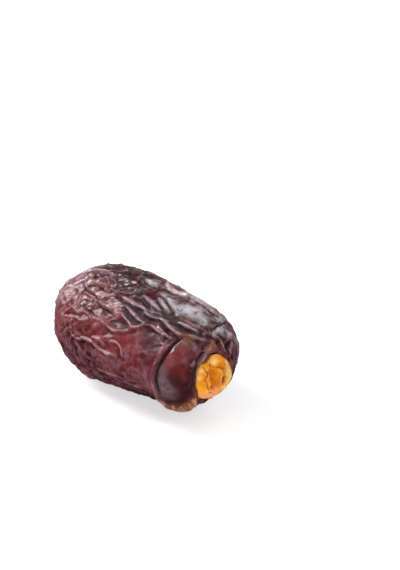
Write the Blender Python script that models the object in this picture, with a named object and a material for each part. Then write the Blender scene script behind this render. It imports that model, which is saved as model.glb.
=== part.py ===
"""A dried date lying on its side: one wrinkled fruit, and the amber calyx cap seated in its stem end.

Lengths are in millimetres, and become metres where a mesh is made. The long axis is X, with the stem end
at +X. A place on the skin is its station along X and its angle round the axis: 0 degrees is the top, 90
the -Y side, 180 the bottom. The origin is on the surface that the date rests on, under its middle.
"""

import itertools
import math

import bmesh
import bpy
import numpy as np

MM = 0.001

# Overall form: a superellipse turned about X, settled a little into what it rests on
HALF_LENGTH = 22.6
HALF_WIDTH = 13.75
BLUNTNESS = 3.2
SETTLING = 0.55
AXIS_HEIGHT = HALF_WIDTH - SETTLING

# Cells of the box that is wrapped onto the form, and the triangles left once it is thinned out
CELLS_ALONG = 110
CELLS_ACROSS = 68
FRUIT_TRIANGLES = 11200

# The calyx cap: its middle, and its outline as (angle, radius) round that middle
CAP_CENTRE_Y = -0.7
CAP_CENTRE_Z = -1.0
CAP_OUTLINE = [
    (6, 5.0), (17, 4.6), (29, 4.3), (46, 4.9), (61, 5.0), (82, 4.7), (118, 4.85), (139, 5.6), (167, 5.25),
    (186, 4.95), (210, 5.05), (227, 5.05), (249, 5.25), (271, 4.6), (298, 4.3), (326, 4.35), (354, 4.95),
]
# The cap's thickness at its edge, how far it crowns over that, and its lean
CAP_EDGE = 2.1
CAP_CROWN = 1.0
CAP_LEAN_Y = 0.07
CAP_LEAN_Z = -0.06
CAP_SPOKES = 60
CAP_RINGS = 16
# Rings of the cap's side and base: share of its outline, and share of the height
CAP_SIDE = [(1.0, 0.85), (0.93, 0.5), (0.85, 0.15), (0.75, 0.0), (0.38, 0.0)]
# The scar where the stem came off: an oval pit, its middle and half sizes
SCAR_Y = 1.8
SCAR_Z = -1.05
SCAR_HALF_WIDTH = 0.8
SCAR_HALF_HEIGHT = 1.2
SCAR_DEPTH = 1.4
# Ridges and grooves of the cap: height, half width, and the line as (y, z) points from the cap's middle
CAP_LINES = {
    "lobe_edge": (-0.42, 0.3, [
        (-1.6, 3.6), (-1.4, 2.7), (-1.9, 1.7), (-2.4, 0.9), (-3.0, 0.3), (-2.6, -0.7), (-2.3, -1.9),
        (-2.0, -2.8), (-1.3, -3.4)]),
    "slit": (-0.4, 0.2, [(-3.1, 3.1), (-2.7, 2.2), (-2.3, 1.3)]),
    "pit": (-0.4, 0.26, [(-1.4, 3.25), (-1.3, 2.9)]),
    "top_groove": (-0.25, 0.3, [(-1.4, 3.2), (-0.5, 2.4), (0.5, 2.2), (1.6, 1.5), (2.1, 1.9), (2.8, 2.2)]),
    "middle_dip": (-0.9, 0.95, [(-1.2, 1.5), (-1.2, 0.4), (-0.7, -0.9), (-0.9, -2.0)]),
    "collar": (0.35, 0.45, [
        (0.2, 1.7), (0.8, 1.2), (0.95, 0.2), (0.7, -0.8), (0.6, -1.7), (1.1, -2.5), (2.0, -2.9)]),
    "bright_bulge": (0.55, 0.8, [(2.5, 1.1), (2.9, 0.4), (3.1, -0.4)]),
    "right_rib": (0.3, 0.32, [(3.9, 0.6), (3.7, -0.8), (3.1, -1.9), (2.1, -3.1)]),
    "low_curl": (0.4, 0.3, [(-2.4, -2.5), (-1.8, -2.9), (-1.3, -2.8)]),
    "knob": (0.35, 0.3, [(-2.1, 0.9), (-2.0, 0.5)]),
    "low_knob": (0.3, 0.4, [(-0.2, -2.6), (0.3, -3.0)]),
}

# The hollow that the cap sits in: its depth, how far past the cap's outline its wall stands, and its lip
HOLLOW_DEPTH = 2.0
WALL_PAST_CAP = 0.2
WALL_SLOPE = 0.5
LIP_PAST_CAP = 1.25
LIP_HEIGHT = 0.4
LIP_WIDTH = 0.5
SEAT_GAP = 0.3

# Broad swells and dents: station, angle, height, reach
SWELLS = {
    "stem_end_pad": (19.0, 95.0, 0.8, 6.0),
    "shoulder_dent": (10.0, -42.0, -1.3, 7.0),
    "far_shoulder": (-17.0, 62.0, 0.5, 6.0),
    "far_top": (-17.0, 15.0, -0.4, 7.0),
    "flank_hollow": (3.0, 68.0, -0.4, 6.0),
    "under_flank": (9.0, 138.0, -1.5, 8.0),
    "under_end": (21.0, 178.0, -0.8, 4.5),
    "back_swell": (-5.0, 250.0, 0.5, 8.0),
    "back_dent": (8.0, 225.0, -0.7, 6.0),
    "far_dent": (-20.0, 95.0, -0.5, 6.0),
    "rim_pit": (22.15, -48.0, -1.0, 0.7),
    "band_swell": (15.5, -42.0, 0.6, 7.5),
    "top_swell": (-4.0, -44.0, 0.3, 8.0),
    "low_front_dent": (5.0, 152.0, -0.5, 6.0),
    "low_pad_dent": (16.5, 140.0, -0.5, 3.0),
}

# Folds: height, half width, step down on the right of the line, and the line's (station, angle) points
FOLDS = {
    "pad_crease": (-0.7, 0.3, -0.6, [
        (19.2, 32), (18.3, 42.5), (17.8, 54), (17.3, 68), (16.8, 80), (16.6, 91), (16.9, 102), (17.0, 112)]),
    "pad_lip": (0.3, 0.3, 0.0, [
        (17.6, 37), (16.6, 47), (16.2, 56), (16.2, 66), (15.7, 78), (15.7, 90), (15.9, 100), (16.1, 110)]),
    "pad_foot": (1.4, 0.72, -0.3, [
        (16.0, 98), (16.4, 108), (16.8, 120), (17.3, 132), (18.2, 142), (19.4, 145), (20.6, 143.5),
        (21.5, 138), (22.0, 130)]),
    "middle_crest": (0.7, 0.42, -0.35, [
        (-5.8, 56), (-3.8, 58), (-2, 57.5), (-0.5, 58.5), (1, 60.5), (2.8, 61), (4.5, 59.5), (6.3, 56.5),
        (7.6, 52), (9.3, 47.5), (10.5, 44), (12, 41.5), (13.5, 43), (15.2, 44), (16.5, 41), (18, 37)]),
    "junction_one": (0.45, 0.4, 0.3, [(2.6, 43.5), (4.1, 46.5), (6.1, 48.8), (7.5, 51), (8.6, 49.5)]),
    "junction_two": (0.45, 0.4, 0.3, [(12.6, 38.5), (13.9, 40.5), (15.6, 42.2), (16.6, 44), (17.8, 40)]),
    "horn": (0.7, 0.4, 0.2, [
        (1.6, 7), (2.1, 13), (2.0, 18.5), (1.2, 23), (-0.5, 25), (-2.8, 26.5), (-5.5, 25)]),
    "top_ridge": (0.9, 0.5, 0.35, [
        (1.8, -22), (2.9, -17), (5.1, -11.5), (7.8, -9), (10.5, -9.5), (13.1, -13), (15.2, -17.5),
        (17, -24), (18, -36)]),
    "swirl": (1.0, 0.55, 0.2, [
        (-15, 18), (-13, 13), (-10.8, 10), (-8.6, 9.5), (-7, 12.5), (-7.2, 17), (-9, 20.5), (-11, 22)]),
    "swirl_hollow": (-0.9, 0.6, 0.0, [(-13, 19), (-11.5, 17), (-9.8, 16), (-8.8, 17)]),
    "curl": (0.45, 0.32, 0.15, [(-12, 39), (-9, 40.3), (-7.3, 40.5), (-5.9, 43.5), (-5.9, 47.5), (-7.8, 51)]),
    "long_crack": (-0.5, 0.24, 0.2, [
        (-14.2, 28), (-13.1, 32), (-11.1, 36), (-8.7, 38.6), (-6.8, 39), (-5.2, 42), (-4.4, 45.5), (-3, 46.8),
        (-1, 47), (0.8, 48.5), (2, 50)]),
    "short_crack": (-0.4, 0.22, 0.1, [(-8.5, 54.5), (-7, 55), (-5.5, 55), (-3.8, 56.5), (-2.6, 56)]),
    "upper_crack": (-0.45, 0.24, 0.15, [
        (-12.5, 30), (-10.7, 30.2), (-8.8, 29.5), (-7.5, 28.5), (-5.5, 30.5), (-4, 28.5), (-2.7, 26.5),
        (-1.8, 30), (-0.5, 33)]),
    "zigzag_crest": (0.6, 0.42, 0.2, [
        (-12, 70), (-10.5, 78), (-9.6, 84), (-7.5, 85), (-5.5, 81.5), (-3, 80.5), (-1.5, 82), (0, 84.5),
        (2.2, 85), (4.5, 83.5), (7.2, 84.5)]),
    "zigzag_upper": (0.35, 0.4, 0.0, [(2, 74), (3.5, 71.5), (5, 70.5), (6.6, 74), (7.4, 83)]),
    "zigzag_branch": (0.35, 0.35, 0.0, [(-3.5, 77), (-0.8, 75.5), (0.6, 77), (1.2, 81)]),
    "rim_crack": (-0.5, 0.3, 0.5, [(20.7, -6), (20.4, -15), (19.9, -26.5), (18.9, -40), (16.7, -56)]),
    "rim_crest": (0.4, 0.7, 0.0, [
        (21.3, -4), (21.1, -14), (20.9, -24.5), (20.8, -43.5), (20.4, -65.5), (20.6, -85), (21.2, -112)]),
    "pit_left": (0.4, 0.28, 0.0, [(21.4, -2), (21.8, -16), (22.3, -32), (22.45, -58), (22.3, -75)]),
    "pit_right": (0.4, 0.28, 0.0, [(21.0, -48), (21.4, -56), (22.0, -62), (22.4, -72)]),
    "gather_one": (0.4, 0.4, 0.25, [(16.5, 40.5), (18.2, 35), (19.8, 29), (21.2, 20), (22.2, 6)]),
    "gather_three": (0.35, 0.4, 0.25, [(14, 20), (17, 18), (19.5, 12), (21.4, 0)]),
    "end_ridge": (0.5, 0.5, 0.15, [
        (-12, -14), (-14.5, -6), (-16.5, 10), (-18.4, 25), (-20.2, 42), (-21.3, 58), (-21.5, 80)]),
    "loop": (0.45, 0.35, 0.0, [(-10, 27), (-7.6, 26), (-6.2, 22), (-7.8, 17.5), (-11, 17), (-13.5, 13)]),
    "low_left_crease": (-0.6, 0.45, 0.0, [(-19, 92), (-17, 101), (-14, 111), (-10.5, 118), (-7, 121)]),
    "low_left_crest": (0.45, 0.45, 0.0, [(-20.8, 84), (-18.6, 103), (-15, 117), (-10.5, 125), (-5, 128)]),
    "amber_line": (0.3, 0.35, 0.0, [(-9, 88), (-7, 92), (-5, 97.5), (-2.5, 100)]),
    "low_front_crease": (-0.5, 0.45, 0.0, [(1, 113), (4.5, 118), (8.5, 121.5), (12.5, 121), (14.5, 116)]),
    "low_front_crest": (0.35, 0.5, 0.0, [(-3, 110), (1, 107), (5, 106), (9.5, 110), (13, 110)]),
}
# Folds like overlapping blades, which run down to the stem end: height, width of the upper face, and the
# lower edge's (station, angle) points
BLADES = {
    "lower_left": (0.75, 0.8, [(1.2, 33), (2.3, 35), (4.7, 38.7), (6.9, 41.6), (8.7, 43), (10.9, 41.5)]),
    "wide_left": (0.75, 1.1, [
        (-2, 27.5), (0, 29), (2.6, 31), (4.8, 32.5), (6.6, 31.5), (8.8, 31), (9.8, 30)]),
    "wide_upper": (0.8, 1.1, [(3.2, 17), (4.6, 19), (7.2, 22.5), (9.3, 25), (11, 25), (12.3, 23.5)]),
    "middle": (0.6, 0.8, [(7.2, 33), (8.4, 34), (10.2, 35), (11.5, 34), (13.2, 32.5)]),
    "lower_right": (0.75, 0.8, [
        (11.2, 31), (12.6, 32), (14.6, 34), (16.4, 36), (17.9, 35.5), (19.4, 30.5)]),
    "upper_right": (0.55, 0.8, [(15.4, 23.5), (16.7, 23.5), (18.1, 22.5), (19.5, 18), (20.8, 12)]),
    "small": (0.4, 0.5, [(7.4, 25.5), (8.5, 27), (10.3, 30), (11.6, 28.5), (12.6, 27)]),
    "band_side": (0.5, 1.0, [(6.6, 10), (8.5, 14), (10.6, 18), (12.4, 21), (14, 22)]),
    "band_edge": (0.4, 1.1, [(5.8, 2.5), (7.8, 6.5), (10, 9.5), (12.4, 13.5), (14.4, 16.5), (16.6, 18.5)]),
    "top_blob": (0.6, 0.9, [(-2, -7), (-0.4, -5), (1.6, -2), (2.8, -2), (4, -5)]),
}
BLADE_DROP = 0.3
BLADE_UNDERCUT = 0.45
BLADE_VALLEY = 0.7
BLADE_VALLEY_WIDTH = 0.45

FOLD_SAMPLES = 60
# How far from its line a step dies out, and the share of a line over which each end fades
LEDGE_REACH = 1.6
FOLD_FADE = 0.16

# The nets of wrinkles over the rest of the skin: spacing, crest height, half width and seed of each
NETS = {
    "folds": (4.4, 0.6, 0.65, 11),
    "wrinkles": (2.2, 0.34, 0.34, 29),
}
# A net of narrow creases between raised islands, and where it lies: station, angle, reach, share of its depth
CREASES = (2.3, -0.42, 0.25, 83)
CREASED_PLACES = {
    "upper_wrinkles": (-7.0, 36.0, 7.5, 1.0),
    "middle_wrinkles": (2.0, 42.0, 5.5, 0.8),
    "far_top": (-9.0, -20.0, 9.0, 0.6),
    "back": (0.0, -100.0, 14.0, 0.5),
}
# Gentle swells over all the skin but the pad: size, height and seed of each
UNDULATIONS = {
    "wide": (3.4, 0.28, 61),
    "narrow": (1.3, 0.14, 67),
}
UNDULATION_SHARE_ON_PAD = 0.15
# Crest tops lie near the form itself: share of a net's height that its valleys drop below it
NET_DROP = 0.85
# How rounded a net's crests are
NET_ROUNDING = 0.1
# Wrinkles run along X, a little twisted round it, and lose their direction towards the far end
STRETCH = 0.36
GATHERING = 2.5
GATHERING_START = -2.0
GATHERING_REACH = 5.0
TWIST = math.radians(1.5)
SWAY = 0.45
SWAY_SCALE = 0.7

# Places where the skin is nearly smooth: station, angle, reach, share of the nets' height taken away
SMOOTH_PLACES = {
    "pad": (19.5, 92.0, 8.0, 0.97),
    "ledge": (18.8, 140.0, 4.0, 0.9),
    "blades": (8.5, 29.0, 6.5, 0.75),
    "flank": (8.0, 80.0, 7.5, 0.85),
    "low_flank": (0.0, 104.0, 8.0, 0.6),
    "far_flank": (-5.0, 72.0, 5.0, 0.5),
    "far_end": (-22.0, 90.0, 10.0, 0.55),
    "far_rim": (-20.5, 55.0, 6.0, 0.7),
    "far_top_rim": (-19.0, 12.0, 6.0, 0.4),
    "low_front": (6.0, 128.0, 7.0, 0.7),
    "low_far": (-10.0, 126.0, 7.0, 0.6),
    "grey_band": (14.0, -4.0, 4.5, 0.8),
    "back_rim": (20.0, -110.0, 8.0, 0.5),
    "back": (2.0, 215.0, 7.0, 0.6),
}
RESTING_SHARE = 0.15

SKIN_COLOUR = (0.17, 0.045, 0.05)
SKIN_ROUGHNESS = 0.35
CALYX_COLOUR = (0.66, 0.26, 0.02)
CALYX_ROUGHNESS = 0.45


def clear_scene():
    for thing in list(bpy.data.objects):
        bpy.data.objects.remove(thing)


def unit(vectors):
    return vectors / np.linalg.norm(vectors, axis=-1, keepdims=True)


def smooth(value):
    """0 below 0, 1 above 1, and an even ease between."""
    value = np.clip(value, 0.0, 1.0)
    return value * value * (3 - 2 * value)


def bump(distance, reach):
    """1 at no distance, and down to nothing in a bell shape."""
    return np.exp(-((distance / reach) ** 2))


def lattice_noise(points, seed):
    """Smooth noise of about -1 to 1: random slopes at whole-number corners, eased between them."""
    draw = np.random.default_rng(seed)
    order = draw.permutation(256)
    slopes = unit(draw.normal(size=(256, 3)))
    cell = np.floor(points).astype(int)
    inside = points - cell
    ease = inside**3 * (inside * (inside * 6 - 15) + 10)
    total = np.zeros(len(points))
    for corner in itertools.product((0, 1), repeat=3):
        at = (cell + corner) & 255
        pick = order[(order[(order[at[:, 0]] + at[:, 1]) & 255] + at[:, 2]) & 255]
        ramp = (slopes[pick] * (inside - corner)).sum(axis=1)
        total += np.where(corner, ease, 1 - ease).prod(axis=1) * ramp
    return total * 1.6


def on_form(directions):
    """Where a ray from the middle along each direction meets the superellipse form."""
    along = np.abs(directions[:, 0]) / HALF_LENGTH
    across = np.hypot(directions[:, 1], directions[:, 2]) / HALF_WIDTH
    reach = (along**BLUNTNESS + across**BLUNTNESS) ** (-1 / BLUNTNESS)
    return directions * reach[:, None]


def form_normals(points):
    along = np.abs(points[:, 0]) / HALF_LENGTH
    across = np.hypot(points[:, 1], points[:, 2]) / HALF_WIDTH
    steep_x = np.sign(points[:, 0]) * along ** (BLUNTNESS - 1) / HALF_LENGTH
    steep_r = across ** (BLUNTNESS - 2) / HALF_WIDTH**2
    return unit(np.stack([steep_x, steep_r * points[:, 1], steep_r * points[:, 2]], axis=1))


def place(station, angle):
    """The point of the form at a station along X and an angle in degrees round the axis."""
    share = np.clip(np.abs(station) / HALF_LENGTH, 0, 1)
    radius = HALF_WIDTH * (1 - share**BLUNTNESS) ** (1 / BLUNTNESS)
    turn = np.radians(angle)
    return np.stack([station + 0 * turn, -radius * np.sin(turn), radius * np.cos(turn)], axis=-1)


def smooth_line(knots):
    """Evenly spread parameters along a Catmull-Rom curve through the knots."""
    knots = np.array(knots, float)
    padded = np.vstack([2 * knots[0] - knots[1], knots, 2 * knots[-1] - knots[-2]])
    at = np.linspace(0, len(knots) - 1, FOLD_SAMPLES)
    first = np.minimum(at.astype(int), len(knots) - 2)
    t = (at - first)[:, None]
    a, b, c, d = (padded[first + k] for k in range(4))
    return 0.5 * (2 * b + (c - a) * t + (2 * a - 5 * b + 4 * c - d) * t**2 + (3 * b - a - 3 * c + d) * t**3)


def beside_line(points, normals, margin, knots):
    """The points near a line, how far each is from it and to the right of it, and the fade at its ends."""
    line = smooth_line(knots)
    path = place(line[:, 0], line[:, 1])
    low, high = path.min(axis=0) - margin, path.max(axis=0) + margin
    near = np.flatnonzero(((points > low) & (points < high)).all(axis=1))
    offset = points[near, None, :] - path[None, :, :]
    nearest = (offset**2).sum(axis=2).argmin(axis=1)
    offset = offset[np.arange(len(near)), nearest]
    pace = np.gradient(path, axis=0)[nearest]
    tangent = unit(pace)
    past = (offset * tangent).sum(axis=1)
    across = offset - past[:, None] * tangent
    side = (across * np.cross(tangent, normals[near])).sum(axis=1)
    run = (nearest + past / np.linalg.norm(pace, axis=1)) / (FOLD_SAMPLES - 1)
    fade = smooth(run / FOLD_FADE) * smooth((1 - run) / FOLD_FADE)
    return near, np.linalg.norm(across, axis=1), side, fade


def fold_relief(points, normals, height, half_width, step, knots):
    """How far one fold lifts each point: a crest or crease along its line, and a step from side to side."""
    near, away, side, fade = beside_line(points, normals, 5.0 * half_width + LEDGE_REACH, knots)
    crest = height * np.exp(-((away / half_width) ** 1.5))
    ledge = -0.5 * step * np.tanh(2 * side / half_width) * np.exp(-away / LEDGE_REACH)
    relief = np.zeros(len(points))
    relief[near] = fade * (crest + ledge)
    return relief


def blade_relief(points, normals, height, face, knots):
    """How far one blade lifts each point: a broad upper face, a sharp drop, and a valley below it."""
    near, away, side, fade = beside_line(points, normals, 3.0 * face + BLADE_VALLEY, knots)
    crest = bump(side, np.where(side < 0, face, BLADE_DROP))
    valley = bump(side - BLADE_VALLEY, BLADE_VALLEY_WIDTH)
    relief = np.zeros(len(points))
    relief[near] = fade * height * (crest - BLADE_UNDERCUT * valley)
    return relief


def wrinkle_field(points, spacing, seed):
    """A noise whose zero lines are the wrinkles of one net."""
    turn = TWIST * points[:, 0]
    y = points[:, 1] * np.cos(turn) - points[:, 2] * np.sin(turn)
    z = points[:, 1] * np.sin(turn) + points[:, 2] * np.cos(turn)
    gathered = GATHERING * np.log1p(np.exp((GATHERING_START - points[:, 0]) / GATHERING_REACH))
    bent = np.stack([STRETCH * points[:, 0] - gathered, y, z], axis=1) / spacing
    sway = np.stack([lattice_noise(bent * SWAY_SCALE + k, seed + k) for k in (1, 2, 3)], axis=1)
    return lattice_noise(bent + SWAY * sway, seed)


def net_relief(points, normals, spacing, height, half_width, seed):
    """Crests or creases along the zero lines of a noise, which meet and part as wrinkles do."""
    small = 0.04
    value = wrinkle_field(points, spacing, seed)
    nudged = [wrinkle_field(points + small * axis, spacing, seed) for axis in np.eye(3)]
    slope = (np.stack(nudged, axis=1) - value[:, None]) / small
    slope -= normals * (slope * normals).sum(axis=1, keepdims=True)
    away = np.abs(value) / (np.linalg.norm(slope, axis=1) + 0.05)
    strength = 0.35 + 0.65 * smooth(0.5 + 0.9 * lattice_noise(points / (3.0 * spacing), seed + 9))
    drop = NET_DROP if height > 0 else 0.0
    return height * (strength * np.exp(-np.hypot(away, NET_ROUNDING) / half_width) - drop)


def in_places(points, places):
    """How much each point is in any of the places given by station, angle, reach and strength."""
    clear = np.ones(len(points))
    for station, angle, reach, strength in places:
        away = np.linalg.norm(points - place(station, angle), axis=1)
        clear *= 1 - strength * np.exp(-((away / reach) ** 3))
    return 1 - clear


def net_share(points):
    """1 where the nets of wrinkles have their full height, and less in smooth places and underneath."""
    share = np.ones(len(points))
    for station, angle, reach, taken in SMOOTH_PLACES.values():
        away = np.linalg.norm(points - place(station, angle), axis=1)
        share *= 1 - taken * np.exp(-((away / reach) ** 4))
    low = smooth((points[:, 2] + AXIS_HEIGHT + 0.3) / 2.0)
    return share * (RESTING_SHARE + (1 - RESTING_SHARE) * low)


def cap_radius(angles):
    """The cap's outline radius at each angle in degrees, eased from one point of the outline to the next."""
    outline = CAP_OUTLINE + [(CAP_OUTLINE[0][0] + 360, CAP_OUTLINE[0][1])]
    at, radii = np.array(outline, float).T
    turned = at[0] + (angles - at[0]) % 360.0
    step = np.searchsorted(at, turned, side="right") - 1
    share = smooth((turned - at[step]) / (at[step + 1] - at[step]))
    return radii[step] * (1 - share) + radii[step + 1] * share


def past_cap(points):
    """How far outside the cap's outline each point lies, seen along X; large away from the stem end."""
    y = points[:, 1] - CAP_CENTRE_Y
    z = points[:, 2] - CAP_CENTRE_Z
    past = np.hypot(y, z) - cap_radius(np.degrees(np.arctan2(-y, z)))
    return np.where(points[:, 0] > 0, past, HALF_WIDTH)


def skin_points(points):
    """The form's points moved to the wrinkled skin."""
    normals = form_normals(points)
    relief = np.zeros(len(points))
    for station, angle, height, reach in SWELLS.values():
        relief += height * bump(np.linalg.norm(points - place(station, angle), axis=1), reach)
    past = past_cap(points)
    relief -= HOLLOW_DEPTH * smooth(0.5 + (WALL_PAST_CAP - past) / (2 * WALL_SLOPE))
    relief += LIP_HEIGHT * bump(past - LIP_PAST_CAP, LIP_WIDTH)
    pad = SMOOTH_PLACES["pad"]
    on_pad = bump(np.linalg.norm(points - place(*pad[:2]), axis=1), pad[2])
    calm = 1 - (1 - UNDULATION_SHARE_ON_PAD) * on_pad
    share = net_share(points)
    creased = share * in_places(points, CREASED_PLACES.values())
    wrinkles = creased * net_relief(points, normals, *CREASES)
    wrinkles += sum(fold_relief(points, normals, *fold) for fold in FOLDS.values())
    wrinkles += sum(blade_relief(points, normals, *blade) for blade in BLADES.values())
    wrinkles += share * sum(net_relief(points, normals, *net) for net in NETS.values())
    for size, height, seed in UNDULATIONS.values():
        wrinkles += calm * height * lattice_noise(points / size, seed)
    relief += smooth((past - WALL_PAST_CAP) / LIP_PAST_CAP) * wrinkles
    moved = points + normals * relief[:, None]
    moved[:, 2] = np.maximum(moved[:, 2], -AXIS_HEIGHT)
    return moved


def wrapped_box():
    """A bmesh box of nearly square cells, with its corners at plus and minus 1."""
    box = bmesh.new()
    bmesh.ops.create_cube(box, size=2.0)
    for axis, cells in enumerate((CELLS_ALONG, CELLS_ACROSS, CELLS_ACROSS)):
        along = [edge for edge in box.edges if abs(edge.verts[0].co[axis] - edge.verts[1].co[axis]) > 1.0]
        bmesh.ops.subdivide_edges(box, edges=along, cuts=cells - 1, use_grid_fill=True)
    return box


def add_object(name, shape, colour, roughness):
    """A smooth-shaded object of this name, with its own material, made from a bmesh that is then freed."""
    mesh = bpy.data.meshes.new(name)
    shape.to_mesh(mesh)
    shape.free()
    mesh.shade_smooth()
    material = bpy.data.materials.new(name)
    material.use_nodes = True
    shader = material.node_tree.nodes["Principled BSDF"]
    shader.inputs["Base Color"].default_value = (*colour, 1.0)
    shader.inputs["Roughness"].default_value = roughness
    shader.inputs["Metallic"].default_value = 0.0
    mesh.materials.append(material)
    made = bpy.data.objects.new(name, mesh)
    bpy.context.scene.collection.objects.link(made)
    return made


def make_fruit():
    fruit = add_object("date_fruit", wrapped_box(), SKIN_COLOUR, SKIN_ROUGHNESS)
    mesh = fruit.data
    corners = np.empty(len(mesh.vertices) * 3)
    mesh.vertices.foreach_get("co", corners)
    # The tangent evens out the cells where the flat sides wrap onto the round form
    directions = np.tan(corners.reshape(-1, 3) * math.pi / 4) * (HALF_LENGTH, HALF_WIDTH, HALF_WIDTH)
    skin = skin_points(on_form(directions)) + (0.0, 0.0, AXIS_HEIGHT)
    mesh.vertices.foreach_set("co", (skin * MM).ravel())
    mesh.update()
    thinned = fruit.modifiers.new("Thinned", "DECIMATE")
    thinned.ratio = FRUIT_TRIANGLES / (2 * len(mesh.polygons))


def hollow_floor(y, z):
    """X of the hollow's floor, at y and z from the date's axis."""
    across = np.hypot(y, z) / HALF_WIDTH
    return HALF_LENGTH * (1 - across**BLUNTNESS) ** (1 / BLUNTNESS) - HOLLOW_DEPTH


def cap_height(y, z, share):
    """How high the cap's upper face stands over its base, at y and z from its middle."""
    top = CAP_EDGE + CAP_CROWN * (1 - share**2.5) + CAP_LEAN_Y * y + CAP_LEAN_Z * z
    for height, half_width, knots in CAP_LINES.values():
        line = smooth_line(knots)
        away = np.hypot(y[:, None] - line[:, 0], z[:, None] - line[:, 1]).min(axis=1)
        top += height * bump(away, half_width)
    from_scar = np.hypot((y - SCAR_Y) / SCAR_HALF_WIDTH, (z - SCAR_Z) / SCAR_HALF_HEIGHT)
    return top - SCAR_DEPTH * np.exp(-(from_scar**4))


def make_cap():
    """Rings of points from the middle of the cap's upper face out, over its edge and in under its base."""
    cap = bmesh.new()
    angles = np.arange(CAP_SPOKES) * 360.0 / CAP_SPOKES
    turn = np.radians(angles)
    edge = cap_radius(angles)

    def add_ring(share, rise, count=CAP_SPOKES):
        y = -share * edge[:count] * np.sin(turn[:count])
        z = share * edge[:count] * np.cos(turn[:count])
        height = rise * cap_height(y, z, np.full(count, share))
        x = hollow_floor(y + CAP_CENTRE_Y, z + CAP_CENTRE_Z) + SEAT_GAP + height
        points = np.stack([x, y + CAP_CENTRE_Y, z + CAP_CENTRE_Z + AXIS_HEIGHT], axis=1)
        return [cap.verts.new(MM * point) for point in points]

    upper = [(math.sin(0.5 * math.pi * k / CAP_RINGS), 1.0) for k in range(1, CAP_RINGS)]
    rings = [add_ring(*ring) for ring in upper + CAP_SIDE]
    crown, foot = add_ring(0.0, 1.0, 1)[0], add_ring(0.0, 0.0, 1)[0]
    for k in range(CAP_SPOKES):
        after = (k + 1) % CAP_SPOKES
        cap.faces.new((crown, rings[0][after], rings[0][k]))
        cap.faces.new((foot, rings[-1][k], rings[-1][after]))
        for inner, outer in itertools.pairwise(rings):
            cap.faces.new((inner[k], inner[after], outer[after], outer[k]))
    bmesh.ops.recalc_face_normals(cap, faces=cap.faces)
    bmesh.ops.triangulate(cap, faces=cap.faces)
    add_object("calyx_cap", cap, CALYX_COLOUR, CALYX_ROUGHNESS)


def main():
    clear_scene()
    make_fruit()
    make_cap()


main()
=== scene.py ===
"""The looks of a dried date: its wrinkled, waxy skin, its amber calyx cap, and a plain pale studio.

The skin and the cap are the solids' own formulas over again, on finer cells and with finer relief added.
Their lengths are in millimetres, and become metres where a mesh is made. A place on the skin is its station
along X and its angle round the axis: 0 degrees is the top, 90 the -Y side, 180 the bottom.
"""

import itertools
import math

import bmesh
import bpy
import numpy as np
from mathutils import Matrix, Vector


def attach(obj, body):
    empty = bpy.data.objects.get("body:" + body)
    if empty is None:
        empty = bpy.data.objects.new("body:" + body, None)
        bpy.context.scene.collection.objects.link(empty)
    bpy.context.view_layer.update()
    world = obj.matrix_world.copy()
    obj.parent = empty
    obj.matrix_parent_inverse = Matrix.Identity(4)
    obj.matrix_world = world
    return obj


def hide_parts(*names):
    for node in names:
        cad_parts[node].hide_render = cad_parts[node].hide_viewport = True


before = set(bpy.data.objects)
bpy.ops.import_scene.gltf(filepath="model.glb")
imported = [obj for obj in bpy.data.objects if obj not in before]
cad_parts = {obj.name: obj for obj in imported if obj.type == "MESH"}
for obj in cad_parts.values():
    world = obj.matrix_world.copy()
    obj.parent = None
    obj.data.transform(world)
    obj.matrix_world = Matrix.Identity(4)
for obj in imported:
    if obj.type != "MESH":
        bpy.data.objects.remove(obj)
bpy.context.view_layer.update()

MM = 0.001

# Overall form: a superellipse turned about X, settled a little into what it rests on
HALF_LENGTH = 22.6
HALF_WIDTH = 13.75
BLUNTNESS = 3.2
SETTLING = 0.55
AXIS_HEIGHT = HALF_WIDTH - SETTLING

# Cells of the box that is wrapped onto the form
CELLS_ALONG = 170
CELLS_ACROSS = 105

# The calyx cap: its middle, and its outline as (angle, radius) round that middle
CAP_CENTRE_Y = -0.7
CAP_CENTRE_Z = -1.0
CAP_OUTLINE = [
    (6, 5), (17, 4.6), (29, 4.3), (46, 4.9), (61, 5), (82, 4.7), (118, 4.85), (139, 5.6), (167, 5.25),
    (186, 4.95), (210, 5.05), (227, 5.05), (249, 5.25), (271, 4.6), (298, 4.3), (326, 4.35), (354, 4.95),
]
# The cap's thickness at its edge, how far it crowns over that and how squarely, and its lean
CAP_EDGE = 2.1
CAP_CROWN = 1.0
CAP_CROWN_POWER = 2.5
CAP_LEAN_Y = 0.07
CAP_LEAN_Z = -0.06
CAP_SPOKES = 180
CAP_RINGS = 56
# Rings of the cap's side and base: share of its outline, and share of the height
CAP_SIDE = [(1.0, 0.93), (1.0, 0.85), (0.975, 0.7), (0.93, 0.5), (0.85, 0.15), (0.75, 0.0), (0.38, 0.0)]
# The scar where the stem came off: an oval pit, its middle and half sizes
SCAR_Y = 1.65
SCAR_Z = -1.2
SCAR_HALF_WIDTH = 0.62
SCAR_HALF_HEIGHT = 0.95
SCAR_DEPTH = 1.3
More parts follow.
